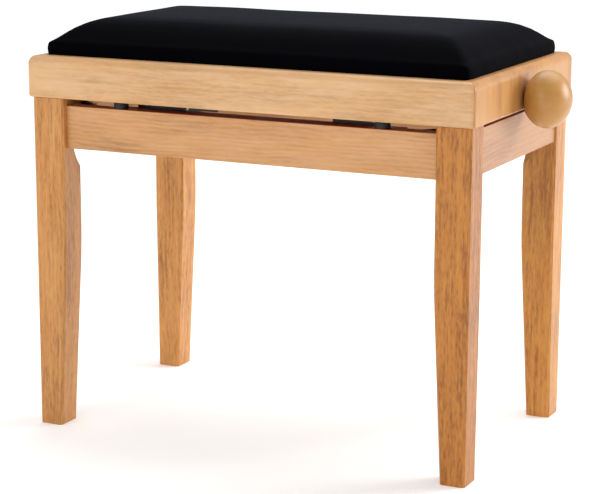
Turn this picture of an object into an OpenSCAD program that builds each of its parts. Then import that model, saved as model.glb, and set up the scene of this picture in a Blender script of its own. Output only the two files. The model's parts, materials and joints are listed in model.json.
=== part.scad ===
// Adjustable piano bench: a legged base and an upholstered seat frame, joined by a front and a
// back pair of crossed arms. A threaded spindle with a knob at each end raises the seat.
// Origin on the floor under the middle of the seat; +X to the right-hand knob, +Y to the back.

/* [Seat frame] */
// Length of the seat frame, left to right
frame_l = 555; // [520:1:620]
// Depth of the seat frame, front to back
frame_w = 330; // [320:1:360]
// Height of the top of the seat frame above the floor
frame_top = 446; // [430:1:460]
// Height of the seat frame rails
rail_h = 48.5; // [44:0.5:52]
// Thickness of the seat frame rails
rail_t = 17; // [15:0.5:20]
// Radius of the rounded top edge of the rails
rail_round = 10; // [6:0.5:14]
// Radius of the upright corners of the seat frame
corner_round = 5; // [3:0.5:6]
// Radius of the rounded bottom edge of the rails
rail_low_round = 2.5; // [1:0.5:4]

/* [Legs] */
// How far the legs stand in from the face of the seat frame
leg_inset = 4; // [2:0.5:10]
// Width of a leg at its top, along X
leg_top_x = 41; // [34:0.5:44]
// Width of a leg at its top, along Y
leg_top_y = 38.5; // [34:0.5:44]
// Width of a leg at the floor, along X
foot_x = 29.5; // [24:0.5:34]
// Width of a leg at the floor, along Y
foot_y = 34.5; // [26:0.5:36]
// Height at which the taper of a leg begins
taper_top = 250; // [200:5:300]
// Chamfer along the edges of a leg
leg_edge = 2.5; // [1:0.25:3]
// Size of the flat cut off the inner corner for the corner bracket's bolts
corner_cut = 17; // [12:0.5:20]

/* [Aprons] */
// Thickness of the aprons
apron_t = 18; // [15:0.5:20]
// Height of the front and back aprons
apron_h = 50; // [46:1:60]
// Height of the end aprons
end_apron_h = 50.5; // [46:0.5:60]
// How far the front and back aprons stand in from the legs' faces
apron_set = 9; // [4:0.5:11]
// How far the end aprons stand in from the legs' faces
end_apron_set = 2.5; // [2:0.5:9]
// Open slot between the front apron and the seat frame
slot_gap = 9.5; // [8:0.5:12]

/* [Cushion] */
// Height of the cushion's crown above the seat frame
crown_h = 41; // [30:1:50]
// Height of the cushion's upright side above the seat frame
side_h = 14; // [8:0.5:16]
// Width of the rounded border of the crown
crown_border = 60; // [50:5:100]
// Thickness of the cover
cover_t = 2; // [1.5:0.5:3]

/* [Lifting gear] */
// Travel of the seat
lift = 100; // [60:5:100]
// Height of the spindle's axis above the bottom of the seat frame
spindle_up = 13; // [12.5:0.5:14]
// Radius of the spindle
spindle_r = 7; // [6:0.5:7]
// Half the distance between the left and right pivots at rest
pivot_x = 143.5; // [135:0.5:150]
// Width of the flat arms
arm_w = 16; // [14:0.5:16]
// Height of the lower pivots above the bottom of the seat frame, negative below it
low_pivot_up = -0.5; // [-1:0.5:0]

/* [Knobs] */
// Diameter of a knob
knob_d = 65; // [55:1:70]
// Length of a knob
knob_len = 48; // [40:1:55]

/* [Hidden] */
$fn = 64;
tiny = 0.1;
big = 700;

// Heights
leg_gap = 0.5;
end_gap = 4.5;
rail_z = frame_top - rail_h;
apron_top = rail_z - slot_gap;
leg_h = rail_z - leg_gap;
end_apron_top = rail_z - end_gap;
spindle_z = rail_z + spindle_up;
low_z = rail_z + low_pivot_up;

// Plan positions, all measured from the middle of the bench
half_l = frame_l / 2;
half_w = frame_w / 2;
leg_x = half_l - leg_inset;
leg_y = half_w - leg_inset;
apron_y = leg_y - apron_set;
apron_in_y = apron_y - apron_t;
end_apron_x = leg_x - end_apron_set;
end_in_x = end_apron_x - apron_t;
open_x = half_l - rail_t;
open_y = half_w - rail_t;

// Leg taper: the first stretch below taper_top eases in before the straight taper
ease = 60;
ease_steps = 6;
cut_bottom = 313;
cut_top = 345;
function taper(z) = z >= taper_top ? 0
    : z >= taper_top - ease ? pow(taper_top - z, 2) / (2 * ease)
    : taper_top - z - ease / 2;
function share(z) = taper(z) / taper(0);
function leg_a(z) = leg_top_x - (leg_top_x - foot_x) * share(z);
function leg_b(z) = leg_top_y - (leg_top_y - foot_y) * share(z);
function run_out(z) = pow((cut_top - z) / (cut_top - cut_bottom), 2);
function inner_cut(z) = z >= cut_top ? corner_cut
    : z <= cut_bottom ? leg_edge
    : corner_cut - (corner_cut - leg_edge) * run_out(z);
taper_zs = concat([0], [for (i = [0 : ease_steps]) taper_top - ease + i * ease / ease_steps]);
cut_zs = [for (i = [0 : ease_steps]) cut_bottom + i * (cut_top - cut_bottom) / ease_steps];
leg_zs = concat(taper_zs, cut_zs, [leg_h]);

// Corner hardware
bolt_r = 3;
bolt_in = 28;
bolt_out = 34;
bolt_zs = [355, 381];
plate_gap = 23;
bracket_t = 2;
bracket_z = 346;
bracket_h = 42;
flange_w = 20;
flange_screw = 12;
washer_r = 7;
washer_t = 1.6;
nut_r = 5.8;
nut_h = 5;
cut_v = (leg_top_x + leg_top_y - corner_cut) / sqrt(2);
bolt_u = (leg_top_x - leg_top_y) / sqrt(2);
plate_sum = leg_x + leg_y - (leg_top_x + leg_top_y - corner_cut) - plate_gap * sqrt(2);

// Wood screws
screw_r = 2;
screw_head_r = 4;
screw_head_h = 2;
screw_len = 12;

// Cleats
cleat_t = 15.5;
cleat_z = apron_top - 36;
cleat_h = 35;
cleat_half = 183;
cleat_in_y = apron_in_y - cleat_t;
cleat_screw_len = 24;
cleat_screw_xs = [-60, 0, 60];

// Layers of the lifting gear, from the cleat inwards
plate_t = 3;
spacer_len = 2;
arm_gap = 0.5;
carrier_gap = 2.5;
plate_y = cleat_in_y - plate_t;
arm_a_y = plate_y - spacer_len - plate_t;
arm_b_y = arm_a_y - arm_gap - plate_t;
carrier_y = arm_b_y - carrier_gap - plate_t;
plate_half = 31.5;
plate_round = 12.5;
plate_x = pivot_x - plate_half + plate_round;
plate_drop = 45;
plate_screws_at = [[-10.5, 14], [10.5, 14], [0, 30]];
pin_r = 4;
bar_pin_r = 4.5;
run_gap = 0.08;
open_gap = 0.9;
roller_r = 5.5;
roller_gap = 0.5;
head_r = 7;
head_t = 2;
thin_head_t = 1.5;
slack = 0.2;
bar_w = 18;
slot_end = pivot_x + 1.5;
slot_start = pivot_x - 25;
arm_len = norm([2 * pivot_x, spindle_z - low_z]);
arm_tilt = atan2(spindle_z - low_z, 2 * pivot_x);
carrier_half = 165;
carrier_z = 401;
carrier_flange = 17;
carrier_screw_in = 10;
carrier_screw_xs = [-150, -50, 50, 150];

// Seat board and cushion
pad_gap = 0.5;
pad_x = open_x - pad_gap;
pad_y = open_y - pad_gap;
side_top = frame_top + side_h;
crown_z = frame_top + crown_h;
side_lean = 3;
board_z = frame_top - 16;
board_t = 12;
tuck_t = 1.5;
tuck_w = 28;
crown_steps = 12;

// Corner blocks
block_leg = 45;
block_z = 404;
block_top = board_z - tuck_t;
block_in = 15;
block_edge = 30;
block_screw_len = 26;
board_screw_len = board_z - block_z + 9;

// Spindle and knobs
spigot_r = 5;
spigot_len = 20;
bush_r = 10;
flange_r = 12.5;
flange_t = 2;
knob_gap = 2;
spindle_half = half_l + flange_t + knob_gap;
collar_r = 11;
collar_len = 8;
collar_gap = 0.3;
knob_mid = 21;
knob_steps = 20;

// Rubber bumpers on the aprons
bumper_x = 164;
bumper_r = 9;
bumper_gap = 0.3;

// ---- helpers ----

// Mirrors what is drawn in the back right quarter into another quarter
module quarter(sx, sy) {
    mirror([sx < 0 ? 1 : 0, 0, 0]) mirror([0, sy < 0 ? 1 : 0, 0]) children();
}

module all_quarters() {
    for (sx = [-1, 1], sy = [-1, 1]) quarter(sx, sy) children();
}

// Extrudes a drawing in X and Z over the stretch of Y from y0 to y1
module along_y(y0, y1) {
    translate([0, y1, 0]) rotate([90, 0, 0]) linear_extrude(y1 - y0) children();
}

// Extrudes a drawing in Y and Z over the stretch of X from x0 to x1
module along_x(x0, x1) {
    translate([x0, 0, 0]) rotate([90, 0, 90]) linear_extrude(x1 - x0) children();
}

// A round bar along Y, from y0 to y1
module pin_y(r, y0, y1) {
    translate([0, y1, 0]) rotate([90, 0, 0]) cylinder(r = r, h = y1 - y0);
}

// A round bar along X, from x0 to x1
module pin_x(r, x0, x1) {
    translate([x0, 0, 0]) rotate([0, 90, 0]) cylinder(r = r, h = x1 - x0);
}

// Screw with its head above the origin and its shank below
module wood_screw(len) {
    cylinder(r1 = screw_head_r, r2 = screw_head_r - 1, h = screw_head_h);
    translate([0, 0, -len]) cylinder(r = screw_r, h = len);
}

module pilot_hole(len) {
    translate([0, 0, -len]) cylinder(r = screw_r, h = len);
}

// ---- legs ----

// A leg's own frame: its outer corner at the origin, its body towards +X and +Y
module leg_frame() {
    translate([leg_x, leg_y, 0]) rotate([0, 0, 180]) children();
}

// Prism of the outline from low(z) to high(z) across the plan direction at the angle turn
module leg_prism(turn, lows, highs) {
    outline = concat(
        [for (i = [0 : len(leg_zs) - 1]) [highs[i], leg_zs[i]]],
        [for (i = [len(leg_zs) - 1 : -1 : 0]) [lows[i], leg_zs[i]]]);
    rotate([0, 0, turn]) along_y(-big / 4, big / 4) polygon(outline);
}

// Places its children on a hanger bolt's axis, pointing into the bench from the leg's flat
module on_bolt_axes() {
    for (z = bolt_zs)
        leg_frame() rotate([0, 0, 45]) translate([cut_v, -bolt_u, z]) rotate([0, 90, 0]) children();
}

module leg() {
    as = [for (z = leg_zs) leg_a(z)];
    bs = [for (z = leg_zs) leg_b(z)];
    zero = [for (z = leg_zs) 0];
    outer_v = [for (z = leg_zs) leg_edge / sqrt(2)];
    inner_v = [for (z = leg_zs) (leg_a(z) + leg_b(z) - inner_cut(z)) / sqrt(2)];
    low_u = [for (z = leg_zs) (leg_edge - leg_b(z)) / sqrt(2)];
    high_u = [for (z = leg_zs) (leg_a(z) - leg_edge) / sqrt(2)];
    color("#c98f5c") difference() {
        leg_frame() intersection() {
            leg_prism(0, zero, as);
            leg_prism(90, zero, bs);
            leg_prism(45, outer_v, inner_v);
            leg_prism(-45, low_u, high_u);
        }
        on_bolt_axes() translate([0, 0, -bolt_in]) cylinder(r = bolt_r, h = bolt_in);
    }
}

module leg_front_left() { quarter(-1, -1) leg(); }
module leg_front_right() { quarter(1, -1) leg(); }
module leg_back_left() { quarter(-1, 1) leg(); }
module leg_back_right() { quarter(1, 1) leg(); }

// ---- aprons and cleats ----

// Screw axes through a corner bracket's flange into the front or back apron
module on_side_flange() {
    for (z = bolt_zs)
        translate([plate_sum - apron_in_y - flange_screw, apron_in_y - bracket_t, z])
            rotate([90, 0, 0]) children();
}

// Screw axes through a corner bracket's flange into an end apron
module on_end_flange() {
    for (z = bolt_zs)
        translate([end_in_x - bracket_t, plate_sum - end_in_x - flange_screw, z])
            rotate([0, -90, 0]) children();
}

// Screw axes through a cleat into its apron, at the back of the bench
module on_cleat_axes() {
    for (x = cleat_screw_xs)
        translate([x, cleat_in_y, cleat_z + cleat_h / 2]) rotate([90, 0, 0]) children();
}

// Screw axes through the steel plates into the cleats, at the back of the bench
module on_plate_axes() {
    for (s = [-1, 1], p = plate_screws_at)
        translate([s * (plate_x + p[0]), plate_y, cleat_z + p[1]])
            rotate([90, 0, 0]) children();
}

module long_apron() {
    color("#d29a66") difference() {
        translate([leg_top_x - leg_x, apron_in_y, apron_top - apron_h])
            cube([2 * (leg_x - leg_top_x), apron_t, apron_h]);
        for (sx = [-1, 1]) quarter(sx, 1) on_side_flange() pilot_hole(screw_len);
        on_cleat_axes() pilot_hole(cleat_screw_len);
    }
}

module end_apron() {
    color("#dcab7c") difference() {
        translate([end_in_x, leg_top_y - leg_y, end_apron_top - end_apron_h])
            cube([apron_t, 2 * (leg_y - leg_top_y), end_apron_h]);
        for (sy = [-1, 1]) quarter(1, sy) on_end_flange() pilot_hole(screw_len);
    }
}

module cleat() {
    color("#8a6a48") difference() {
        translate([-cleat_half, cleat_in_y, cleat_z]) cube([2 * cleat_half, cleat_t, cleat_h]);
        on_cleat_axes() pilot_hole(cleat_screw_len);
        on_plate_axes() pilot_hole(screw_len);
    }
}

module front_apron() { quarter(1, -1) long_apron(); }
module back_apron() { long_apron(); }
module left_apron() { quarter(-1, 1) end_apron(); }
module right_apron() { end_apron(); }
module front_cleat() { quarter(1, -1) cleat(); }
module back_cleat() { cleat(); }
module cleat_screws() {
    color("silver") for (sy = [-1, 1]) quarter(1, sy) on_cleat_axes() wood_screw(cleat_screw_len);
}

// ---- corner brackets and their fasteners ----

module corner_bracket() {
    skin = bracket_t * sqrt(2);
    side_x = plate_sum - apron_in_y;
    end_y = plate_sum - end_in_x;
    color("#26262a") difference() {
        translate([0, 0, bracket_z]) linear_extrude(bracket_h) polygon([
            [side_x - flange_w, apron_in_y], [side_x, apron_in_y],
            [end_in_x, end_y], [end_in_x, end_y - flange_w],
            [end_in_x - bracket_t, end_y - flange_w],
            [end_in_x - bracket_t, end_y - skin + bracket_t],
            [side_x - skin + bracket_t, apron_in_y - bracket_t],
            [side_x - flange_w, apron_in_y - bracket_t]]);
        on_bolt_axes() translate([0, 0, plate_gap - 1]) cylinder(r = bolt_r + 0.3, h = 4);
        on_side_flange() pilot_hole(bracket_t);
        on_end_flange() pilot_hole(bracket_t);
    }
}

module corner_bracket_front_left() { quarter(-1, -1) corner_bracket(); }
module corner_bracket_front_right() { quarter(1, -1) corner_bracket(); }
module corner_bracket_back_left() { quarter(-1, 1) corner_bracket(); }
module corner_bracket_back_right() { quarter(1, 1) corner_bracket(); }

module hanger_bolts() {
    color("#b9a45a") all_quarters() on_bolt_axes()
        translate([0, 0, -bolt_in]) cylinder(r = bolt_r, h = bolt_in + bolt_out);
}

module hanger_washers() {
    color("gainsboro") all_quarters() on_bolt_axes() translate([0, 0, plate_gap + bracket_t])
        difference() {
            cylinder(r = washer_r, h = washer_t);
            translate([0, 0, -1]) cylinder(r = bolt_r, h = washer_t + 2);
        }
}

module hanger_nuts() {
    color("#b9a45a") all_quarters() on_bolt_axes()
        translate([0, 0, plate_gap + bracket_t + washer_t]) difference() {
            cylinder(r = nut_r, h = nut_h, $fn = 6);
            translate([0, 0, -1]) cylinder(r = bolt_r, h = nut_h + 2);
        }
}

module bracket_screws() {
    color("silver") all_quarters() {
        on_side_flange() wood_screw(screw_len);
        on_end_flange() wood_screw(screw_len);
    }
}

// ---- steel plates of the base, with the lower pivots ----

// Plate against the back cleat on the right-hand side, its upper corners round
module base_plate() {
    along_y(plate_y, cleat_in_y) {
        for (x = [pivot_x, pivot_x - 2 * (plate_half - plate_round)])
            translate([x, low_z]) circle(plate_round);
        translate([pivot_x - 2 * (plate_half - plate_round), low_z - plate_round])
            square([2 * (plate_half - plate_round), 2 * plate_round]);
        translate([pivot_x + plate_round - 2 * plate_half, low_z - plate_drop])
            square([2 * plate_half, plate_drop]);
    }
}

module pivot_bracket() {
    color("#1f1f23") difference() {
        quarter(-1, 1) base_plate();
        translate([-pivot_x, 0, low_z]) pin_y(pin_r, plate_y - 1, cleat_in_y + 1);
        on_plate_axes() pilot_hole(screw_len);
    }
}

module slot_bracket() {
    r = roller_r + open_gap;
    color("#1f1f23") difference() {
        base_plate();
        along_y(plate_y - 1, cleat_in_y + 1) {
            for (x = [slot_start, slot_end]) translate([x, low_z]) circle(r);
            translate([slot_start, low_z - r]) square([slot_end - slot_start, 2 * r]);
        }
        on_plate_axes() pilot_hole(screw_len);
    }
}

module pivot_bracket_front() { quarter(1, -1) pivot_bracket(); }
module pivot_bracket_back() { pivot_bracket(); }
module slot_bracket_front() { quarter(1, -1) slot_bracket(); }
module slot_bracket_back() { slot_bracket(); }

module plate_screws() {
    color("silver") for (sy = [-1, 1]) quarter(1, sy) on_plate_axes() wood_screw(screw_len);
}

// Riveted pins on which the A arms turn
module pivot_pins() {
    color("#8d8f94") for (sy = [-1, 1]) quarter(1, sy) translate([-pivot_x, 0, low_z]) {
        pin_y(pin_r, arm_a_y, cleat_in_y);
        pin_y(head_r, cleat_in_y, cleat_in_y + head_t);
    }
}

module pivot_spacers() {
    color("#8d8f94") for (sy = [-1, 1]) quarter(1, sy) translate([-pivot_x, 0, low_z])
        difference() {
            pin_y(head_r, arm_a_y + plate_t + tiny, plate_y);
            pin_y(pin_r, arm_a_y, plate_y + 1);
        }
}

module rubber_bumpers() {
    color("#161616") all_quarters() translate([bumper_x, (apron_y + apron_in_y) / 2, apron_top])
        cylinder(r1 = bumper_r, r2 = bumper_r - 1, h = slot_gap - bumper_gap);
}

// ---- seat frame ----

// Section of a rail: its outer face at x = 0, its body towards +X, its bottom edge at y = 0
module rail_section() {
    r = rail_round;
    difference() {
        square([rail_t, rail_h]);
        translate([0, rail_h - r]) difference() {
            translate([-1, 0]) square([r + 1, r + 1]);
            translate([r, 0]) circle(r);
        }
        difference() {
            translate([-1, -1]) square([rail_low_round + 1, rail_low_round + 1]);
            translate([rail_low_round, rail_low_round]) circle(rail_low_round);
        }
    }
}

// Rounded upright corner of the frame, turned from the same section
module corner_post(half_x, half_y) {
    translate([half_x - corner_round, half_y - corner_round, rail_z]) rotate_extrude()
        intersection() {
            square([corner_round, rail_h]);
            translate([corner_round, 0]) mirror([1, 0]) rail_section();
        }
}

module corner_square(half_x, half_y) {
    translate([half_x - corner_round, half_y - corner_round, rail_z - 1])
        cube([corner_round + 1, corner_round + 1, rail_h + 2]);
}

// Plan of the mitred piece whose outer edge is x = half_x, between the two 45 degree planes
module mitre_wedge(half_x, half_y) {
    in_x = half_x - rail_t - 1;
    in_y = half_y - rail_t - 1;
    translate([0, 0, rail_z - 1]) linear_extrude(rail_h + 2) polygon([
        [in_x, in_y], [half_x + 1, half_y + 1], [half_x + 1, -half_y - 1], [in_x, -in_y]]);
}

// Rail whose outer face is x = half_x, cut to its mitres, with the rounded corner posts in
// place of sharp corners
module mitred_rail(half_x, half_y) {
    intersection() {
        union() {
            difference() {
                translate([half_x, 0, rail_z])
                    along_y(-half_y, half_y) mirror([1, 0]) rail_section();
                for (sy = [-1, 1]) quarter(1, sy) corner_square(half_x, half_y);
            }
            for (sy = [-1, 1]) quarter(1, sy) corner_post(half_x, half_y);
        }
        mitre_wedge(half_x, half_y);
    }
}

module end_rail() {
    color("#e0ae80") difference() {
        mitred_rail(half_l, half_w);
        translate([0, 0, spindle_z]) pin_x(bush_r, open_x - 1, half_l + 1);
        for (sy = [-1, 1]) quarter(1, sy) on_end_block_axes() pilot_hole(block_screw_len);
    }
}

module side_rail() {
    color("#dba575") difference() {
        rotate([0, 0, 90]) mitred_rail(half_w, half_l);
        for (sx = [-1, 1]) quarter(sx, 1) on_side_block_axes() pilot_hole(block_screw_len);
    }
}

module front_rail() { quarter(1, -1) side_rail(); }
module back_rail() { side_rail(); }
module left_rail() { quarter(-1, 1) end_rail(); }
module right_rail() { end_rail(); }

// ---- corner blocks ----

// Screw axes from a corner block into the side rail, end rail and seat board
module on_side_block_axes() {
    translate([open_x - block_edge, open_y - block_in, (block_z + block_top) / 2])
        rotate([90, 0, 0]) children();
}

module on_end_block_axes() {
    translate([open_x - block_in, open_y - block_edge, (block_z + block_top) / 2])
        rotate([0, -90, 0]) children();
}

module on_board_axes() {
    translate([open_x - block_in, open_y - block_in, block_z]) rotate([180, 0, 0]) children();
}

// Glued triangular block, notched where the screw heads bear
module corner_block() {
    color("#c49a6a") difference() {
        translate([0, 0, block_z]) linear_extrude(block_top - block_z) polygon([
            [open_x, open_y], [open_x - block_leg, open_y], [open_x, open_y - block_leg]]);
        on_side_block_axes() block_seat();
        on_end_block_axes() block_seat();
        on_board_axes() pilot_hole(board_screw_len);
    }
}

// Countersunk seat and hole for a screw that crosses a corner block
module block_seat() {
    pilot_hole(block_screw_len);
    cylinder(r = screw_head_r + 1, h = block_leg);
}

module corner_block_front_left() { quarter(-1, -1) corner_block(); }
module corner_block_front_right() { quarter(1, -1) corner_block(); }
module corner_block_back_left() { quarter(-1, 1) corner_block(); }
module corner_block_back_right() { quarter(1, 1) corner_block(); }

module block_screws() {
    color("silver") all_quarters() {
        on_side_block_axes() wood_screw(block_screw_len);
        on_end_block_axes() wood_screw(block_screw_len);
    }
}

module board_screws() {
    color("silver") all_quarters() on_board_axes() wood_screw(board_screw_len);
}

// ---- seat board and cushion ----

// Half outline of the cushion: upright side, slight lean, then a crown that rises as a parabola
function pad_edge(half, inset, floor_z) = concat(
    [[half - inset, floor_z], [half - inset, frame_top]],
    [for (i = [0 : crown_steps]) let (t = i / crown_steps)
        [half - inset - side_lean - crown_border * t,
         side_top - inset + (crown_z - side_top) * t * (2 - t)]]);

function mirrored(points) = [for (i = [len(points) - 1 : -1 : 0]) [-points[i][0], points[i][1]]];

// Cushion form: the long and the short outline crossed, which leaves soft ridges at the corners
module pad_form(inset, floor_z) {
    long = pad_edge(pad_x, inset, floor_z);
    short = pad_edge(pad_y, inset, floor_z);
    intersection() {
        along_y(inset - pad_y, pad_y - inset) polygon(concat(long, mirrored(long)));
        along_x(inset - pad_x, pad_x - inset) polygon(concat(short, mirrored(short)));
    }
}

module seat_board() {
    color("#c8a878") difference() {
        translate([cover_t - pad_x, cover_t - pad_y, board_z])
            cube([2 * (pad_x - cover_t), 2 * (pad_y - cover_t), board_t]);
        all_quarters() on_board_axes() pilot_hole(board_screw_len);
        on_carrier_axes() pilot_hole(screw_len);
        quarter(1, -1) on_carrier_axes() pilot_hole(screw_len);
    }
}

module foam_pad() { color("#e9dca0") pad_form(cover_t, board_z + board_t); }

module cushion_cover() {
    color("#24242b") difference() {
        pad_form(0, board_z - tuck_t);
        pad_form(cover_t, board_z);
        translate([tuck_w - pad_x, tuck_w - pad_y, board_z - tuck_t - 1])
            cube([2 * (pad_x - tuck_w), 2 * (pad_y - tuck_w), tuck_t + 2]);
        all_quarters() on_board_axes() pilot_hole(board_screw_len);
    }
}

// ---- steel carriers under the seat board ----

// Screw axes through a carrier's flange into the seat board, at the back of the bench
module on_carrier_axes() {
    for (x = carrier_screw_xs)
        translate([x, carrier_y - carrier_screw_in, board_z - plate_t])
            rotate([180, 0, 0]) children();
}

module carrier() {
    r = bar_pin_r + open_gap;
    color("#1f1f23") difference() {
        union() {
            translate([-carrier_half, carrier_y, carrier_z])
                cube([2 * carrier_half, plate_t, board_z - carrier_z]);
            translate([-carrier_half, carrier_y - carrier_flange, board_z - plate_t])
                cube([2 * carrier_half, carrier_flange + plate_t, plate_t]);
        }
        translate([-pivot_x, 0, spindle_z]) pin_y(bar_pin_r, carrier_y - 1, carrier_y + plate_t + 1);
        along_y(carrier_y - 1, carrier_y + plate_t + 1) {
            for (x = [slot_start, slot_end]) translate([x, spindle_z]) circle(r);
            translate([slot_start, spindle_z - r]) square([slot_end - slot_start, 2 * r]);
        }
        on_carrier_axes() pilot_hole(screw_len);
    }
}

module carrier_front() { quarter(1, -1) carrier(); }
module carrier_back() { carrier(); }
module carrier_screws() {
    color("silver") for (sy = [-1, 1]) quarter(1, sy) on_carrier_axes() wood_screw(screw_len);
}

// Square bar with turned ends, bored across its middle
module cross_bar(x, bore_r, pin_end) {
    color("#6f7278") translate([x, 0, spindle_z]) difference() {
        union() {
            translate([-bar_w / 2, tiny - carrier_y, -bar_w / 2])
                cube([bar_w, 2 * (carrier_y - tiny), bar_w]);
            pin_y(bar_pin_r, -pin_end, pin_end);
        }
        pin_x(bore_r, -bar_w, bar_w);
    }
}

module thrust_bar() { cross_bar(-pivot_x, spindle_r + run_gap, arm_b_y + plate_t); }

module thrust_spacers() {
    color("#8d8f94") for (sy = [-1, 1]) quarter(1, sy) translate([-pivot_x, 0, spindle_z])
        difference() {
            pin_y(head_r, carrier_y + plate_t, arm_b_y - tiny);
            pin_y(bar_pin_r, carrier_y, arm_b_y + 1);
        }
}

// ---- crossed arms ----

// Flat arm from its pivot at the origin along +X, in the layer from y0 outwards
module flat_arm(y0, pivot_hole, centre_hole, tip_hole) {
    difference() {
        along_y(y0, y0 + plate_t) {
            for (x = [0, arm_len]) translate([x, 0]) circle(arm_w / 2);
            translate([0, -arm_w / 2]) square([arm_len, arm_w]);
        }
        pin_y(pivot_hole, y0 - 1, y0 + plate_t + 1);
        translate([arm_len / 2, 0, 0]) pin_y(centre_hole, y0 - 1, y0 + plate_t + 1);
        translate([arm_len, 0, 0]) pin_y(tip_hole, y0 - 1, y0 + plate_t + 1);
    }
}

// A arms rise to the right from the base; B arms fall to the right from the seat
module in_arm_a() { translate([-pivot_x, 0, low_z]) rotate([0, -arm_tilt, 0]) children(); }
module in_arm_b() { translate([-pivot_x, 0, spindle_z]) rotate([0, arm_tilt, 0]) children(); }

module arm_a() {
    color("#2a2a2e") in_arm_a()
        flat_arm(arm_a_y, pin_r + run_gap, pin_r, bar_pin_r + run_gap);
}

module arm_b() {
    color("#2a2a2e") in_arm_b()
        flat_arm(arm_b_y, bar_pin_r + run_gap, pin_r + open_gap, pin_r);
}

module arm_a_front() { quarter(1, -1) arm_a(); }
module arm_a_back() { arm_a(); }
module arm_b_front() { quarter(1, -1) arm_b(); }
module arm_b_back() { arm_b(); }

module centre_pins() {
    color("#8d8f94") for (sy = [-1, 1]) quarter(1, sy)
        in_arm_a() translate([arm_len / 2, 0, 0]) {
            pin_y(pin_r, arm_b_y - slack, arm_a_y + plate_t);
            pin_y(head_r, arm_b_y - slack - thin_head_t, arm_b_y - slack);
            pin_y(head_r, arm_a_y + plate_t, arm_a_y + plate_t + thin_head_t);
        }
}

module slot_pins() {
    color("#8d8f94") for (sy = [-1, 1]) quarter(1, sy)
        in_arm_b() translate([arm_len, 0, 0]) {
            pin_y(pin_r, arm_b_y, cleat_in_y + roller_gap);
            pin_y(head_r, cleat_in_y + roller_gap, cleat_in_y + roller_gap + head_t);
        }
}

module slot_rollers() {
    color("#e4e2da") for (sy = [-1, 1]) quarter(1, sy)
        in_arm_b() translate([arm_len, 0, 0]) difference() {
            pin_y(roller_r, plate_y - 2 * slack, cleat_in_y + 2 * slack);
            pin_y(pin_r, plate_y - 1, cleat_in_y + 1);
        }
}

// ---- nut bar, spindle and knobs ----

module nut_bar() {
    cross_bar(pivot_x, spindle_r + open_gap, arm_a_y + plate_t);
}

module bush() {
    color("#1b1b1e") translate([0, 0, spindle_z]) difference() {
        union() {
            pin_x(bush_r, open_x, half_l);
            pin_x(flange_r, half_l, half_l + flange_t);
        }
        pin_x(spindle_r + run_gap, open_x - 1, half_l + flange_t + 1);
    }
}

module spindle_bush_left() { quarter(-1, 1) bush(); }
module spindle_bush_right() { bush(); }

module spindle() {
    color("#9a9ca2") translate([0, 0, spindle_z]) {
        pin_x(spindle_r, -spindle_half, spindle_half);
        pin_x(spigot_r, -spindle_half - spigot_len, spindle_half + spigot_len);
    }
}

// Collars pinned to the spindle on both sides of the thrust bar
module thrust_collars() {
    reach = bar_w / 2 + collar_gap;
    color("#55585e") translate([-pivot_x, 0, spindle_z]) difference() {
        for (s = [-1, 1]) mirror([s < 0 ? 1 : 0, 0, 0]) pin_x(collar_r, reach, reach + collar_len);
        pin_x(spindle_r, -2 * collar_len - reach, 2 * collar_len + reach);
    }
}

// Turned knob: a flat base and a flattened ball, bored for the spindle's spigot
module knob() {
    front = knob_len - knob_mid;
    start = -asin(knob_mid / front);
    ball = [for (i = [0 : knob_steps]) let (t = start + (90 - start) * i / knob_steps)
        [knob_d / 2 * cos(t), knob_mid + front * sin(t)]];
    color("#d59a62") translate([spindle_half, 0, spindle_z]) rotate([0, 90, 0])
        rotate_extrude() polygon(concat(
            [[spigot_r, 0]], ball, [[0, spigot_len], [spigot_r, spigot_len]]));
}

module knob_left() { quarter(-1, 1) knob(); }
module knob_right() { knob(); }

leg_front_left();
leg_front_right();
leg_back_left();
leg_back_right();
front_apron();
back_apron();
left_apron();
right_apron();
front_cleat();
back_cleat();
corner_bracket_front_left();
corner_bracket_front_right();
corner_bracket_back_left();
corner_bracket_back_right();
hanger_bolts();
hanger_washers();
hanger_nuts();
bracket_screws();
cleat_screws();
pivot_bracket_front();
pivot_bracket_back();
slot_bracket_front();
slot_bracket_back();
plate_screws();
pivot_pins();
pivot_spacers();
rubber_bumpers();
front_rail();
back_rail();
left_rail();
right_rail();
corner_block_front_left();
corner_block_front_right();
corner_block_back_left();
corner_block_back_right();
block_screws();
board_screws();
seat_board();
foam_pad();
cushion_cover();
carrier_front();
carrier_back();
carrier_screws();
thrust_bar();
thrust_spacers();
spindle_bush_left();
spindle_bush_right();
arm_a_front();
arm_a_back();
centre_pins();
arm_b_front();
arm_b_back();
slot_pins();
slot_rollers();
nut_bar();
spindle();
thrust_collars();
knob_left();
knob_right();
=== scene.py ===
"""Looks of the adjustable piano bench: wood, velvet, steel, rubber, lights and camera."""
import json
import math
import random

import bmesh
import bpy
from mathutils import Matrix, Vector, noise


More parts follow.
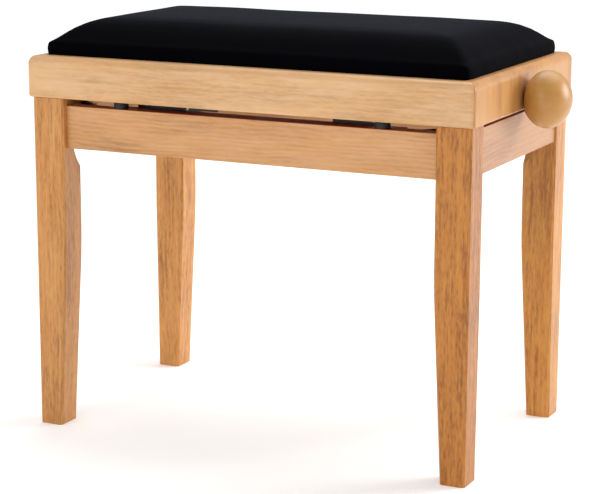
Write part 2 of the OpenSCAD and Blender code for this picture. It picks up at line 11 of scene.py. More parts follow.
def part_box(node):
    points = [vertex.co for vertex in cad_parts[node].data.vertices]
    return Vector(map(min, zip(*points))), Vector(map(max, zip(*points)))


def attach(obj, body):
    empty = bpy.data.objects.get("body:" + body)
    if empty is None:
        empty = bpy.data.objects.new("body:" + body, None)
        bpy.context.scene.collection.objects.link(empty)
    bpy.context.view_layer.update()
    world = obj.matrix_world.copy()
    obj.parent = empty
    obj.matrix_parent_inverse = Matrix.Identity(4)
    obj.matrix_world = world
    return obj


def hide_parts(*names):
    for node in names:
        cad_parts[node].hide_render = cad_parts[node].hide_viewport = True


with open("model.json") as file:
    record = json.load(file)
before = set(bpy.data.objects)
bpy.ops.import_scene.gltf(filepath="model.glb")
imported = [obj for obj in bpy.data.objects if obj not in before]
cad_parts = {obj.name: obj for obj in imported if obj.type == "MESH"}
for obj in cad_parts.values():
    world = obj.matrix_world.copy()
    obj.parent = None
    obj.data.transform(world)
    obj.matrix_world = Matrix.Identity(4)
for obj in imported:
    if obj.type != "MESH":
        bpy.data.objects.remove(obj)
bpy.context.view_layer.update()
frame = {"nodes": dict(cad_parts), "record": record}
MM = 0.001


# ---- places taken from the frame ----

FRAME_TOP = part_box("front_rail")[1].z
PAD_LOW, PAD_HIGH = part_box("cushion_cover")
KNOB_LOW, KNOB_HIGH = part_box("knob_right")
SPINDLE_LOW, SPINDLE_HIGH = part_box("spindle")
SPINDLE_Z = (KNOB_LOW.z + KNOB_HIGH.z) / 2


# ---- camera and lights ----

# Where the camera stands, its turn from +Y towards -X, its tilt down and its roll, in degrees
CAMERA_AT = (0.9836, -2.0591, 0.7108)
CAMERA_YAW, CAMERA_TILT, CAMERA_ROLL = 25.61, 12.32, 0.18
SENSOR_WIDTH, CAMERA_LENS = 36.0, 116.55

# Area lights that point at the bench: where each stands, its width and height, and its power in watts
LIGHTS = {
    "overhead": ((0.2, 0.9, 2.3), (2.6, 1.8), 39),
    "right_back": ((3.0, 2.3, 1.3), (1.7, 1.7), 86),
    "front_fill": ((-0.7, -3.0, 1.2), (2.6, 1.8), 35),
}
LIGHT_TARGET = (0, 0, 0.3)
LIGHT_COLOUR = (1, 0.99, 0.98)
WORLD_LIGHT = 0.55

# The floor's faint glow near the bench and far from it, and the radius over which it changes
FLOOR_SIZE = 60.0
NEAR_GLOW, FAR_GLOW, GLOW_REACH = 0.26, 0.5, 5.0


def add_camera():
    data = bpy.data.cameras.new("camera")
    data.sensor_width, data.lens = SENSOR_WIDTH, CAMERA_LENS
    camera = bpy.data.objects.new("camera", data)
    bpy.context.scene.collection.objects.link(camera)
    turn = Matrix.Rotation(math.radians(CAMERA_YAW), 4, "Z")
    tilt = Matrix.Rotation(math.radians(90 - CAMERA_TILT), 4, "X")
    roll = Matrix.Rotation(math.radians(CAMERA_ROLL), 4, "Z")
    camera.matrix_world = Matrix.Translation(CAMERA_AT) @ turn @ tilt @ roll
    bpy.context.scene.camera = camera
    bpy.context.scene.view_settings.view_transform = "Standard"


def add_area_light(name, at, size, power):
    data = bpy.data.lights.new(name, "AREA")
    data.shape, data.size, data.size_y = "RECTANGLE", size[0], size[1]
    data.energy, data.color = power, LIGHT_COLOUR
    lamp = bpy.data.objects.new(name, data)
    bpy.context.scene.collection.objects.link(lamp)
    lamp.location = at
    lamp.rotation_mode = "QUATERNION"
    lamp.rotation_quaternion = (Vector(LIGHT_TARGET) - Vector(at)).to_track_quat("-Z", "Y")


def add_world():
    """Even white light from all round, which the camera itself sees at full strength."""
    world = bpy.data.worlds.new("studio")
    world.use_nodes = True
    nodes, links = world.node_tree.nodes, world.node_tree.links
    background = nodes["Background"]
    background.inputs["Color"].default_value = (1, 1, 1, 1)
    background.inputs["Strength"].default_value = WORLD_LIGHT
    seen = nodes.new("ShaderNodeBackground")
    seen.inputs["Color"].default_value = (1, 1, 1, 1)
    mix = nodes.new("ShaderNodeMixShader")
    links.new(nodes.new("ShaderNodeLightPath").outputs["Is Camera Ray"], mix.inputs["Fac"])
    links.new(background.outputs["Background"], mix.inputs[1])
    links.new(seen.outputs["Background"], mix.inputs[2])
    links.new(mix.outputs["Shader"], nodes["World Output"].inputs["Surface"])
    bpy.context.scene.world = world


def add_lights():
    for name, (at, size, power) in LIGHTS.items():
        add_area_light(name, at, size, power)


def add_floor():
    bpy.ops.mesh.primitive_plane_add(size=FLOOR_SIZE, location=(0, 0, 0))
    floor = bpy.context.object
    floor.name = "floor"
    floor.data.materials.append(pale_floor())


# ---- node helper ----

class Shader:
    """A material and short calls that add nodes to it."""

    def __init__(self, name):
        self.mat = bpy.data.materials.new(name)
        self.mat.use_nodes = True
        self.tree = self.mat.node_tree
        self.bsdf = self.tree.nodes["Principled BSDF"]

    def add(self, kind, values=None, **settings):
        node = self.tree.nodes.new("ShaderNode" + kind)
        for key, value in settings.items():
            setattr(node, key, value)
        for key, value in (values or {}).items():
            self.put(node.inputs[key], value)
        return node

    def put(self, socket, value):
        if isinstance(value, bpy.types.NodeSocket):
            self.tree.links.new(value, socket)
        else:
            socket.default_value = value

    def math(self, operation, a, b=0.0, c=0.0):
        return self.add("Math", {0: a, 1: b, 2: c}, operation=operation).outputs[0]

    def place(self, scale=(1, 1, 1), shift=(0, 0, 0), turn=(0, 0, 0), source=None):
        """Object coordinates, shifted, turned and scaled."""
        source = source or self.add("TexCoord").outputs["Object"]
        values = {"Vector": source, "Location": shift, "Rotation": turn, "Scale": scale}
        return self.add("Mapping", values).outputs["Vector"]

    def noise(self, vector, scale, detail=3.0, roughness=0.5):
        values = {"Vector": vector, "Scale": scale, "Detail": detail, "Roughness": roughness}
        return self.add("TexNoise", values).outputs["Fac"]

    def grained(self, source, along, across, detail=3.0, roughness=0.6, shift=(0, 0, 0)):
        """Noise drawn out along X: its scale is in cells per metre along and across."""
        placed = self.place(scale=(along, across, across), shift=shift, source=source)
        return self.noise(placed, 1.0, detail, roughness)

    def ramp(self, factor, stops):
        """Colour ramp through (position, colour) stops."""
        node = self.add("ValToRGB", {"Fac": factor})
        items = node.color_ramp.elements
        while len(items) < len(stops):
            items.new(0.5)
        for item, (at, colour) in zip(items, stops):
            item.position, item.color = at, (*colour, 1)
        return node.outputs["Color"]

    def span(self, factor, low, high, new_low=0.0, new_high=1.0):
        """The factor's range from low to high, stretched to the new one and clamped."""
        values = {"Value": factor, "From Min": low, "From Max": high,
                  "To Min": new_low, "To Max": new_high}
        return self.add("MapRange", values, clamp=True).outputs["Result"]

    def mix(self, factor, a, b, blend="MIX"):
        node = self.add("Mix", {"Factor": factor}, data_type="RGBA", blend_type=blend)
        self.put(node.inputs[6], a)
        self.put(node.inputs[7], b)
        return node.outputs[2]

    def bump(self, height, strength, distance):
        values = {"Height": height, "Strength": strength, "Distance": distance}
        self.put(self.bsdf.inputs["Normal"], self.add("Bump", values).outputs["Normal"])

    def set(self, **values):
        """Principled sockets, with underscores for the spaces in their names."""
        for key, value in values.items():
            self.put(self.bsdf.inputs[key.replace("_", " ")], value)
        return self.mat


def rgb(*display):
    """Linear colour from red, green and blue display values of 0 to 255."""
    return tuple(((c / 255 + 0.055) / 1.055) ** 2.4 if c > 10 else c / 255 / 12.92 for c in display)


def rgba(colour):
    return (*colour, 1.0)


# ---- materials ----

# Painted shade on the tops of the aprons, a dark red-brown for the deep shade in the gaps under the seat
# frame, and the depth of its edge
PAINTED_TOP_SHADE = rgb(150, 54, 10)
PAINTED_SHADE_DEPTH = 0.3 * MM

# Factors on a wood's ground colour, for its dark and light grain, pores and ruddy patches
DARK_TONE, LIGHT_TONE = (0.61, 0.52, 0.36), (1.20, 1.28, 1.42)
PORE_TONE, RUDDY_TONE = (0.50, 0.41, 0.27), (0.98, 0.92, 0.79)

# How far the grain wanders off its axis, and the wave of its growth rings
GRAIN_SWAY = 6 * MM
RING_WAVE = {"Scale": 62.0, "Distortion": 9.0, "Detail": 3.0, "Detail Scale": 0.6, "Detail Roughness": 0.6}

# Turns that bring the grain's axis to X
GRAIN_TURN = {"x": (0, 0, 0), "y": (0, 0, -math.pi / 2), "z": (0, math.pi / 2, 0)}


def toned(colour, *factors):
    """The colour with its red, green and blue multiplied."""
    return tuple(min(1.0, c * f) for c, f in zip(colour, factors))


def wood(name, ground, grain, seed, figure, streak, mottle, gloss, painted_shade_above=None):
    """Lacquered wood with its grain along one axis: rings, streaks, mottle, fibres and pores.
    A board's top, above the given height, gets painted shade: dark red-brown and without gloss."""
    s = Shader(name)
    rnd = random.Random(seed)
    shift = (rnd.uniform(0, 1), rnd.uniform(0.03, 0.06), rnd.uniform(0.03, 0.06))
    tilt = (0, rnd.uniform(-0.05, 0.05), rnd.uniform(0.02, 0.05))
    placed = s.place(shift=shift, source=s.place(turn=GRAIN_TURN[grain]))
    bend = s.grained(placed, 5, 14, 2.0, 0.5)
    sway = s.add("CombineXYZ", {"Y": s.span(bend, 0, 1, -GRAIN_SWAY, GRAIN_SWAY),
                                "Z": s.span(bend, 0, 1, GRAIN_SWAY, -GRAIN_SWAY)})
    bent = s.add("VectorMath", {0: placed, 1: sway.outputs[0]}, operation="ADD").outputs[0]
    drift = s.grained(placed, 6, 30, roughness=0.55)
    tint = s.grained(bent, 12, 70, shift=(3, 1, 2))
    ring_place = s.place(scale=(0.2, 1, 1), turn=tilt, source=bent)
    rings = s.add("TexWave", {"Vector": ring_place, **RING_WAVE}, wave_type="RINGS", rings_direction="X")
    streaks = s.grained(bent, 16, 210)
    blots = s.grained(bent, 95, 430, 2.0)
    fibres = s.grained(bent, 40, 900, 2.0)
    dashes = s.grained(bent, 110, 1500, 1.0, 0.5)
    layers = [(drift, 0.9), (rings.outputs["Fac"], 0.26 * figure), (streaks, streak),
              (blots, 1.1 * mottle), (fibres, 0.5 * streak)]
    tone = 0.5
    for layer, weight in layers:
        tone = s.math("MULTIPLY_ADD", s.math("SUBTRACT", layer, 0.5), weight, c=tone)
    dark, light = toned(ground, *DARK_TONE), toned(ground, *LIGHT_TONE)
    colour = s.ramp(tone, [(0.1, dark), (0.5, ground), (0.9, light)])
    colour = s.mix(s.span(tint, 0.42, 0.62), colour, s.mix(1.0, colour, rgba(RUDDY_TONE), "MULTIPLY"))
    flecks = s.span(dashes, 0.62, 0.74, 0.0, 0.4 * mottle)
    colour = s.mix(flecks, colour, rgba(toned(ground, *PORE_TONE)))
    # Painted shade: above the height the colour turns dark red-brown and the lacquer gloss goes to nothing
    if painted_shade_above:
        level = s.add("SeparateXYZ", {"Vector": s.place()}).outputs["Z"]
        shade_mask = s.span(level, painted_shade_above - PAINTED_SHADE_DEPTH, painted_shade_above, 0.0, 0.9)
        colour = s.mix(shade_mask, colour, rgba(PAINTED_TOP_SHADE))
        gloss = s.span(level, painted_shade_above - PAINTED_SHADE_DEPTH, painted_shade_above, gloss, 0.0)
    height = s.math("SUBTRACT", s.math("MULTIPLY", fibres, 0.5), s.math("MULTIPLY", flecks, 0.8))
    s.bump(height, 0.2, 0.25 * MM)
    return s.set(Base_Color=colour, Roughness=s.span(fibres, 0.2, 0.8, 0.36, 0.46),
                 Coat_Weight=gloss, Coat_Roughness=0.3, Specular_IOR_Level=0.35)


def plywood():
    s = Shader("plywood")
    plies = s.add("TexWave", {"Vector": s.place(), "Scale": 105.0, "Distortion": 0.4, "Detail": 2.0},
                  wave_type="BANDS", bands_direction="Z").outputs["Fac"]
    grain = s.noise(s.place(scale=(12, 260, 60)), 1.0, 3.0, 0.6)
    face = s.ramp(grain, [(0.25, rgb(176, 138, 92)), (0.6, rgb(206, 172, 124)), (0.9, rgb(220, 190, 146))])
    colour = s.mix(s.span(plies, 0.35, 0.65, 0.0, 0.35), face, rgba(rgb(150, 108, 66)))
    s.bump(grain, 0.3, 0.3 * MM)
    return s.set(Base_Color=colour, Roughness=s.span(grain, 0.2, 0.8, 0.6, 0.8))


def velvet():
    """Short black pile: lighter where the nap is brushed the other way, with a soft sheen."""
    s = Shader("velvet")
    nap = s.noise(s.place(scale=(7, 11, 11)), 1.0, 4.0, 0.6)
    brushed = s.noise(s.place(scale=(60, 24, 24)), 1.0, 2.0, 0.5)
    pile = s.noise(s.place(scale=(1500, 1500, 1500)), 1.0, 2.0, 0.7)
    blend = s.math("MULTIPLY_ADD", nap, 0.6, c=s.math("MULTIPLY", brushed, 0.2))
    blend = s.math("MULTIPLY_ADD", pile, 0.3, c=blend)
    colour = s.ramp(blend, [(0.3, (0.0003, 0.0002, 0.0006)), (0.55, (0.0007, 0.0006, 0.0013)),
                            (0.8, (0.0016, 0.0015, 0.0032))])
    height = s.math("MULTIPLY_ADD", pile, 0.6, c=s.math("MULTIPLY", brushed, 0.5))
    s.bump(height, 0.5, 0.4 * MM)
    return s.set(Base_Color=colour, Roughness=s.span(nap, 0.3, 0.7, 0.82, 0.95), Specular_IOR_Level=0.02,
                 Sheen_Weight=0.042, Sheen_Roughness=0.3, Sheen_Tint=rgba((0.70, 0.77, 1.0)))


def foam():
    s = Shader("foam")
    cells = s.add("TexVoronoi", {"Vector": s.place(), "Scale": 900.0}).outputs["Distance"]
    tone = s.noise(s.place(), 30.0)
    colour = s.ramp(tone, [(0.3, rgb(226, 210, 150)), (0.7, rgb(240, 228, 176))])
    s.bump(cells, 0.7, 0.6 * MM)
    return s.set(Base_Color=colour, Roughness=s.span(tone, 0.3, 0.7, 0.85, 0.95))


def metal(name, dark, light, roughness, metallic=1.0, brush=(1, 1, 1), wear=None):
    """Metal or painted metal with fine brushed lines, blotches and worn spots."""
    s = Shader(name)
    lines = s.noise(s.place(scale=tuple(900 * b for b in brush)), 1.0, 2.0, 0.6)
    blotch = s.noise(s.place(), 45.0, 4.0, 0.6)
    colour = s.ramp(s.math("ADD", s.math("MULTIPLY", lines, 0.5), s.math("MULTIPLY", blotch, 0.5)),
                    [(0.35, dark), (0.65, light)])
    if wear:
        spots = s.noise(s.place(), 160.0, 5.0, 0.7)
        colour = s.mix(s.span(spots, 0.66, 0.72, 0.0, 0.7), colour, rgba(wear))
    s.bump(s.math("ADD", lines, blotch), 0.2, 0.12 * MM)
    return s.set(Base_Color=colour, Metallic=metallic, Roughness=s.span(blotch, 0.3, 0.7, *roughness))


def moulded(name, dark, light, roughness, grit):
    """Rubber or plastic with a fine moulded texture."""
    s = Shader(name)
    texture = s.noise(s.place(), grit, 3.0, 0.6)
    tone = s.noise(s.place(), 60.0, 2.0)
    s.bump(texture, 0.3, 0.15 * MM)
    return s.set(Base_Color=s.ramp(tone, [(0.3, dark), (0.7, light)]),
                 Roughness=s.span(texture, 0.3, 0.7, *roughness))


def pale_floor():
    """Nearly white, with a faint glow that makes up for the lights' fall-off far from the bench."""
    s = Shader("pale_floor")
    tone = s.noise(s.place(), 0.7, 2.0)
    around = s.place(scale=(1 / GLOW_REACH, 1 / GLOW_REACH, 1 / GLOW_REACH))
    near = s.add("TexGradient", {"Vector": around}, gradient_type="SPHERICAL").outputs["Fac"]
    return s.set(Base_Color=s.ramp(tone, [(0.3, (0.93, 0.93, 0.93)), (0.7, (0.95, 0.95, 0.95))]),
                 Roughness=0.9, Specular_IOR_Level=0.1, Emission_Color=(1, 1, 1, 1),
                 Emission_Strength=s.span(near, 0.1, 0.75, FAR_GLOW, NEAR_GLOW))


BLACK_STEEL = metal("black_steel", rgb(20, 20, 23), rgb(32, 32, 35), (0.38, 0.5), 0.0,
                    wear=rgb(70, 66, 62))
ZINC = metal("zinc", rgb(150, 152, 156), rgb(196, 198, 200), (0.28, 0.42))
YELLOW_ZINC = metal("yellow_zinc", rgb(168, 146, 82), rgb(206, 190, 120), (0.28, 0.42))
BRIGHT_STEEL = metal("bright_steel", rgb(120, 122, 126), rgb(168, 170, 174), (0.25, 0.38),
                     brush=(0.1, 1, 1))
RUBBER = moulded("rubber", rgb(16, 16, 16), rgb(26, 26, 27), (0.6, 0.75), 700.0)
BLACK_PLASTIC = moulded("black_plastic", rgb(18, 18, 20), rgb(28, 28, 30), (0.42, 0.55), 900.0)
NYLON = moulded("nylon", rgb(206, 202, 190), rgb(226, 222, 212), (0.4, 0.5), 500.0)
VELVET, FOAM, PLYWOOD = velvet(), foam(), plywood()


# ---- mesh helpers ----

# Corners closer than this are joined, flatter edges are dissolved and sharper ones are rounded off
WELD_DISTANCE = 1e-6
FLAT_ANGLE, SHARP_ANGLE = math.radians(0.6), math.radians(38)


def slot_of(node):
    return next(sub["material_slot"] for sub in frame["record"]["subparts"] if sub["node"] == node)


def body_of(node):
    return next(body for body, nodes in frame["record"]["behaviour"]["bodies"].items() if node in nodes)


def new_piece(name, mesh, body, slot, material, *nodes):
    """Links a finished mesh as a piece that rides on a body and stands for CAD nodes."""
    piece = bpy.data.objects.new(name, mesh)
    bpy.context.scene.collection.objects.link(piece)
    mesh.materials.clear()
    mesh.materials.append(material)
    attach(piece, body)
    if nodes:
        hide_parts(*nodes)
    return piece


def finish_mesh(bm, name, smooth_angle=35):
    """Mesh from bmesh with outward normals, smooth where its faces meet at less than the angle."""
    bmesh.ops.recalc_face_normals(bm, faces=bm.faces)
    mesh = bpy.data.meshes.new(name)
    bm.to_mesh(mesh)
    bm.free()
    mesh.shade_smooth()
    mesh.set_sharp_from_angle(angle=math.radians(smooth_angle))
    return mesh


def welded(node):
    """The mesh of a CAD node with its split corners joined and its flat faces made whole."""
    bm = bmesh.new()
    bm.from_mesh(frame["nodes"][node].data)
    bmesh.ops.remove_doubles(bm, verts=bm.verts, dist=WELD_DISTANCE)
    bmesh.ops.dissolve_limit(bm, angle_limit=FLAT_ANGLE, verts=bm.verts, edges=bm.edges)
    return bm


def softened(node, material, width=0.6 * MM, segments=2):
    """A copy of a CAD node with its sharp edges rounded off, which stands for it."""
    bm = welded(node)
    sharp = [e for e in bm.edges if len(e.link_faces) == 2 and e.calc_face_angle() > SHARP_ANGLE]
    bmesh.ops.bevel(bm, geom=sharp, offset=width, segments=segments, profile=0.5, affect="EDGES",
                    clamp_overlap=True)
    mesh = finish_mesh(bm, node + "_soft", 30)
    piece = new_piece(node + "_soft", mesh, body_of(node), slot_of(node), material, node)
    piece.modifiers.new("normals", "WEIGHTED_NORMAL").keep_sharp = True
    return piece


# ---- wooden parts ----

# Ground colour, grain axis and seed of each wooden piece
WOODS = {
    "leg_front_left": (rgb(187, 129, 68), "z", 1),
    "leg_front_right": (rgb(174, 110, 36), "z", 2),
    "leg_back_left": (rgb(197, 136, 70), "z", 3),
    "leg_back_right": (rgb(189, 126, 50), "z", 4),
    "front_apron": (rgb(192, 142, 92), "x", 5),
    "back_apron": (rgb(198, 147, 97), "x", 6),
    "left_apron": (rgb(196, 146, 98), "y", 7),
    "right_apron": (rgb(175, 125, 82), "y", 8),
    "front_rail": (rgb(204, 161, 116), "x", 9),
    "back_rail": (rgb(207, 162, 115), "x", 10),
    "left_rail": (rgb(206, 158, 108), "z", 11),
    "right_rail": (rgb(190, 136, 78), "z", 12),
    # The cleats' dark red-brown is partly their own stain and partly painted shade for the dark slot under
    # the seat frame
    "front_cleat": (rgb(160, 56, 12), "x", 13),
    "back_cleat": (rgb(136, 64, 30), "x", 14),
    "corner_block_front_left": (rgb(196, 146, 96), "z", 15),
    "corner_block_front_right": (rgb(198, 148, 98), "z", 16),
    "corner_block_back_left": (rgb(194, 144, 94), "z", 17),
    "corner_block_back_right": (rgb(200, 150, 100), "z", 18),
    "knob_left": (rgb(181, 131, 66), "x", 19),
    "knob_right": (rgb(181, 131, 66), "x", 20),
}

# Strength of the growth rings, streaks, mottle and lacquer gloss; the first name that fits counts
FIGURES = {
    "leg_front_right": (0.5, 1.6, 1.3, 0.2),
    "leg": (0.45, 1.15, 0.9, 0.2),
    "apron": (0.55, 0.5, 0.3, 0.25),
    "rail": (0.25, 0.45, 0.3, 0.25),
    "cleat": (0.6, 0.8, 0.4, 0.0),
    "corner_block": (0.6, 0.8, 0.4, 0.0),
    "knob": (0.1, 0.12, 0.06, 0.3),
}


def figure_of(node):
    return next(value for word, value in FIGURES.items() if word in node)


def wood_of(node):
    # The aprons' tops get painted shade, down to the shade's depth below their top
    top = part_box(node)[1].z - PAINTED_SHADE_DEPTH if "apron" in node else None
    return wood(node + "_wood", *WOODS[node], *figure_of(node), painted_shade_above=top)


def add_wood():
    """Every board but the knobs, its sharp edges eased; the legs' edges most."""
    for node in WOODS:
        if "leg" in node:
            softened(node, wood_of(node), 1.2 * MM, 3)
        elif "knob" not in node:
            softened(node, wood_of(node))


def add_steel():
    """Plates, bars and rubber pads with eased edges."""
    for node in ("pivot_bracket_front", "pivot_bracket_back", "slot_bracket_front", "slot_bracket_back",
                 "carrier_front", "carrier_back", "arm_a_front", "arm_a_back", "arm_b_front", "arm_b_back"):
        softened(node, BLACK_STEEL, 0.4 * MM)
    for node in ("thrust_bar", "nut_bar", "thrust_collars"):
        softened(node, BRIGHT_STEEL, 0.5 * MM)
    softened("rubber_bumpers", RUBBER, 0.8 * MM)


def paint_frame():
    """Finishes of the CAD nodes that keep their own shape."""
    finishes = {"black_steel": BLACK_STEEL, "zinc": ZINC, "yellow_zinc": YELLOW_ZINC, "rubber": RUBBER,
                "bright_steel": BRIGHT_STEEL, "black_plastic": BLACK_PLASTIC, "nylon": NYLON,
                "plywood": PLYWOOD, "foam": FOAM, "velvet": VELVET}
    for sub in frame["record"]["subparts"]:
        if sub["material_slot"] in finishes:
            data = frame["nodes"][sub["node"]].data
            data.materials.clear()
            data.materials.append(finishes[sub["material_slot"]])


# ---- knobs and spindle ----

def lathe(profile, sides, cut=None):
    """Solid turned about the spindle's axis through (x, radius) points, with this many sides.
    cut(x, turn) says how much is taken off the radius at x and a share of a turn."""
    bm = bmesh.new()
    rows = []
    for x, r in profile:
        row = []
        for j in range(1 if r < 1e-7 else sides):
            a = 2 * math.pi * j / sides
            here = r - cut(x, j / sides) if cut and r > 1e-7 else r
            row.append(bm.verts.new((x, here * math.sin(a), SPINDLE_Z + here * math.cos(a))))
        rows.append(row)
    for low, high in zip(rows, rows[1:]):
        for j in range(sides):
            k = (j + 1) % sides
            ring = [low[j % len(low)], low[k % len(low)], high[k % len(high)], high[j % len(high)]]
            bm.faces.new(list(dict.fromkeys(ring)))
    return bm


# Where a knob is widest, measured from its flat base, and the bevel round the base
KNOB_WIDEST, KNOB_BEVEL = 21 * MM, 1.2 * MM
KNOB_STEPS, KNOB_SIDES = 40, 96


def add_knobs():
    """Turned balls, cut flat at the base, with a small bevel there."""
    radius = (KNOB_HIGH.z - KNOB_LOW.z) / 2
    front = KNOB_HIGH.x - KNOB_LOW.x - KNOB_WIDEST
    start = -math.asin((KNOB_WIDEST - KNOB_BEVEL) / front)
    points = [(0.0, 0.0), (0.0, radius * math.cos(start) - KNOB_BEVEL)]
    for i in range(KNOB_STEPS + 1):
        t = start + (math.pi / 2 - start) * i / KNOB_STEPS
        points.append((KNOB_WIDEST + front * math.sin(t), radius * math.cos(t)))
    for side, sign in (("left", -1), ("right", 1)):
        node = "knob_" + side
        bm = lathe([(sign * (KNOB_LOW.x + x), r) for x, r in points], KNOB_SIDES)
        mesh = finish_mesh(bm, node, 50)
        new_piece("turned_" + node, mesh, body_of(node), "knob_wood", wood_of(node), node)


# The thread along the spindle, and the thin ends of the spindle inside the knobs
THREAD_START, THREAD_END = 60 * MM, 238 * MM
THREAD_PITCH, THREAD_DEPTH = 3 * MM, 0.9 * MM
ROWS_PER_PITCH, SPINDLE_SIDES = 6, 32
SPIGOT_RADIUS = 5 * MM


def thread_cut(x, turn):
    """Depth of the thread's groove at x and a share of a turn, eased at both ends of the thread."""
    ease = min(1.0, max(0.0, min(x - THREAD_START, THREAD_END - x) / THREAD_PITCH))
    wave = abs(2 * ((x / THREAD_PITCH - turn) % 1.0) - 1)
    return THREAD_DEPTH * ease * wave


def add_spindle():
    """Round bar with a thread on its right-hand half, where the nut bar runs, and thin ends."""
    thick, thin = (SPINDLE_HIGH.z - SPINDLE_LOW.z) / 2, SPIGOT_RADIUS
    shoulder, end = KNOB_LOW.x, SPINDLE_HIGH.x
    length = THREAD_END - THREAD_START
    rows = int(length / (THREAD_PITCH / ROWS_PER_PITCH))
    points = [(-end, 0.0), (-end, thin), (-shoulder, thin), (-shoulder, thick)]
    points += [(THREAD_START + length * i / rows, thick) for i in range(rows + 1)]
    points += [(shoulder, thick), (shoulder, thin), (end, thin), (end, 0.0)]
    mesh = finish_mesh(lathe(points, SPINDLE_SIDES, thread_cut), "spindle", 30)
    new_piece("threaded_spindle", mesh, body_of("spindle"), slot_of("spindle"), BRIGHT_STEEL, "spindle")


# ---- cushion ----

# Top of the upright side, how far it leans in, and how wide the rise of the crown is from there
SIDE_TOP = FRAME_TOP + 14 * MM
SIDE_LEAN = 3 * MM
FRONT_BORDER, END_BORDER = 60 * MM, 44 * MM
CORNER_ROUND = 6 * MM
BELOW_STEPS, CROWN_STEPS, CORNER_STEPS = 4, 14, 6

# Width of the strip that is tucked under the board, and the height that counts as the underside
TUCK_WIDTH, UNDERSIDE = 28 * MM, 4 * MM

# How far the cushion's ends bulge out over the frame, and where: (share of the side, share of the bulge)
END_BULGE = 4.5 * MM
END_PROFILE = ((0.08, 0.8), (0.3, 1.0), (0.65, 0.85), (1.0, 0.55))

# The form starts this much below the top of the CAD cushion, and then swells by the cap at most
START_SINK, SWELL_CAP = 2 * MM, 3.3 * MM
SWELL_STEPS, EVENING_ROUNDS = 20, 24
CLOTH_PRESSURE, CLOTH_STIFFNESS, CLOTH_BENDING = 4.0, 15, 0.5
MESH_SIZE, CLOTH_THICKNESS = 5 * MM, 1.2 * MM

# Depth of the pulls up the sides and of the dips on the crown, and their noise in cells per metre
PULL_DEPTH, PULLS_ALONG, PULLS_UP = 0.7 * MM, 38, 9
DIP_DEPTH, DIPS = 0.5 * MM, (9, 11)


def pad_form():
    """Closed form in rings: flat underside, upright side, then a crown that rises as a parabola."""
    half_x, half_y = PAD_HIGH.x, PAD_HIGH.y
    low, top = PAD_LOW.z, PAD_HIGH.z - START_SINK
    steps = [(0.0, 0.0, low + (FRAME_TOP - low) * i / BELOW_STEPS) for i in range(BELOW_STEPS + 1)]
    for height, share in END_PROFILE:
        steps.append((-END_BULGE * share, 0.0, FRAME_TOP + (SIDE_TOP - FRAME_TOP) * height))
    rise, crease = top - SIDE_TOP, END_BULGE * END_PROFILE[-1][1]
    for i in range(1, CROWN_STEPS + 1):
        t = i / CROWN_STEPS
        end_inset = -crease * (1 - t) + SIDE_LEAN + END_BORDER * t
        steps.append((end_inset, SIDE_LEAN + FRONT_BORDER * t, SIDE_TOP + rise * t * (2 - t)))
    bm = bmesh.new()
    rows = []
    for end_inset, front_inset, z in steps:
        row = []
        for sx, sy, start in ((1, -1, -90), (1, 1, 0), (-1, 1, 90), (-1, -1, 180)):
            for i in range(CORNER_STEPS + 1):
                a = math.radians(start + 90 * i / CORNER_STEPS)
                x = sx * (half_x - end_inset - CORNER_ROUND) + CORNER_ROUND * math.cos(a)
                y = sy * (half_y - front_inset - CORNER_ROUND) + CORNER_ROUND * math.sin(a)
                row.append(bm.verts.new((x, y, z)))
        rows.append(row)
    for lower, upper in zip(rows, rows[1:]):
        for j in range(len(lower)):
            k = (j + 1) % len(lower)
            bm.faces.new((lower[j], lower[k], upper[k], upper[j]))
    bm.faces.new(rows[-1])
    bm.faces.new(list(reversed(rows[0])))
    bmesh.ops.recalc_face_normals(bm, faces=bm.faces)
    mesh = bpy.data.meshes.new("seat_cushion")
    bm.to_mesh(mesh)
    bm.free()
    return mesh


def held(z):
    """How firmly the cover is held at a height: fully below the frame's top, freely above the side."""
    return min(1.0, max(0.0, (SIDE_TOP - z) / (SIDE_TOP - FRAME_TOP)))


def even_steps(mesh, steps):
    """Each vertex's movement, averaged again and again with that of its neighbours."""
    near = [[] for _ in steps]
    for edge in mesh.edges:
        a, b = edge.vertices
        near[a].append(b)
        near[b].append(a)
    for _ in range(EVENING_ROUNDS):
        steps = [(steps[i] + sum((steps[j] for j in near[i]), Vector())) / (len(near[i]) + 1)
                 for i in range(len(steps))]
    return steps


def swell(piece):
    """Cloth under pressure. The foam keeps a point from moving in, and the cap from moving far out."""
    group = piece.vertex_groups.new(name="held")
    for v in piece.data.vertices:
        group.add([v.index], held(v.co.z), "REPLACE")
    cloth = piece.modifiers.new("swell", "CLOTH")
    cloth.settings.effector_weights.gravity = 0
    cloth.settings.use_pressure = True
    cloth.settings.uniform_pressure_force = CLOTH_PRESSURE
    cloth.settings.vertex_group_mass = group.name
    cloth.settings.tension_stiffness = cloth.settings.compression_stiffness = CLOTH_STIFFNESS
    cloth.settings.bending_stiffness = CLOTH_BENDING
    scene = bpy.context.scene
    for step in range(1, SWELL_STEPS + 1):
        scene.frame_set(step)
    posed = piece.evaluated_get(bpy.context.evaluated_depsgraph_get())
    moved = [v.co.copy() for v in posed.data.vertices]
    piece.modifiers.remove(cloth)
    piece.vertex_groups.remove(group)
    scene.frame_set(1)
    steps = []
    for v, target in zip(piece.data.vertices, moved):
        step = target - v.co
        step -= v.normal * min(0.0, step.dot(v.normal))
        size = max(step.length, 1e-9)
        steps.append(step * (SWELL_CAP * (1 - math.exp(-size / SWELL_CAP)) / size))
    for step, v in zip(even_steps(piece.data, steps), piece.data.vertices):
        v.co += step


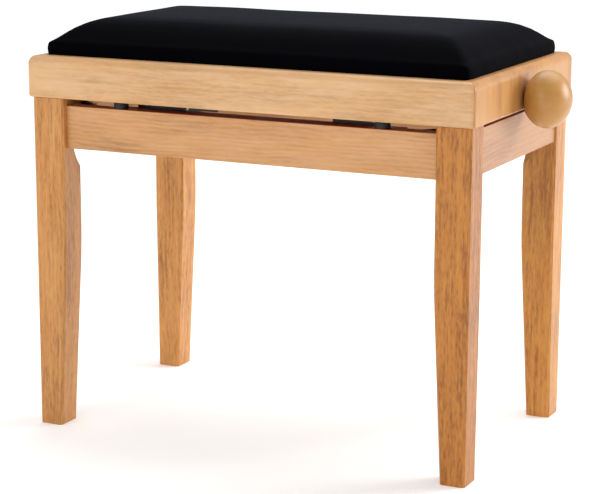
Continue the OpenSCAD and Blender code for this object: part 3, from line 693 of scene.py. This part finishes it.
def add_puckers(mesh):
    """Shallow pulls up the sloping sides, deepest just above the frame, and softer dips on the crown."""
    for v in mesh.vertices:
        x, y, z = v.co
        if z < FRAME_TOP + 2 * MM:
            continue
        slope = max(0.0, 1 - v.normal.z ** 2)
        # Each of the four sides runs through its own stretch of the noise
        if PAD_HIGH.x - abs(x) < PAD_HIGH.y - abs(y):
            run, side = y, 4.0 + math.copysign(1, x)
        else:
            run, side = x, 8.0 + math.copysign(1, y)
        pull = noise.noise((run * PULLS_ALONG, side, z * PULLS_UP))
        dip = noise.noise((x * DIPS[0], y * DIPS[1], 3.1))
        v.co += v.normal * (PULL_DEPTH * pull * slope + DIP_DEPTH * dip)


def open_underside(mesh):
    """Cuts the middle out of the underside, which leaves the strip that is tucked under the board."""
    bm = bmesh.new()
    bm.from_mesh(mesh)
    limit_x, limit_y = PAD_HIGH.x - TUCK_WIDTH, PAD_HIGH.y - TUCK_WIDTH
    for axis, limit in ((0, limit_x), (0, -limit_x), (1, limit_y), (1, -limit_y)):
        point = [0, 0, PAD_LOW.z]
        point[axis] = limit
        normal = [0, 0, 0]
        normal[axis] = 1
        under = [f for f in bm.faces if f.calc_center_median().z < PAD_LOW.z + UNDERSIDE]
        geom = under + list({e for f in under for e in f.edges}) + list({v for f in under for v in f.verts})
        bmesh.ops.bisect_plane(bm, geom=geom, plane_co=point, plane_no=normal, dist=WELD_DISTANCE)
    middle = [f for f in bm.faces if f.calc_center_median().z < PAD_LOW.z + UNDERSIDE
              and abs(f.calc_center_median().x) < limit_x and abs(f.calc_center_median().y) < limit_y]
    bmesh.ops.delete(bm, geom=middle, context="FACES")
    bm.to_mesh(mesh)
    bm.free()


def add_cushion():
    """The form, remeshed evenly, swelled as cloth, puckered, opened below and given a thickness."""
    piece = new_piece("seat_cushion", pad_form(), "seat", "velvet", VELVET, "cushion_cover", "foam_pad")
    remesh = piece.modifiers.new("even", "REMESH")
    remesh.mode, remesh.voxel_size = "VOXEL", MESH_SIZE
    even = bpy.data.meshes.new_from_object(piece.evaluated_get(bpy.context.evaluated_depsgraph_get()))
    piece.modifiers.remove(remesh)
    piece.data = even
    swell(piece)
    even.update()
    add_puckers(even)
    open_underside(even)
    even.materials.clear()
    even.materials.append(VELVET)
    even.shade_smooth()
    piece.modifiers.new("smooth", "SUBSURF").levels = 1
    piece.modifiers["smooth"].render_levels = 1
    skin = piece.modifiers.new("cloth_thickness", "SOLIDIFY")
    skin.thickness, skin.offset = CLOTH_THICKNESS, -1


add_camera()
add_lights()
add_world()
add_wood()
add_steel()
paint_frame()
add_knobs()
add_spindle()
add_cushion()
add_floor()
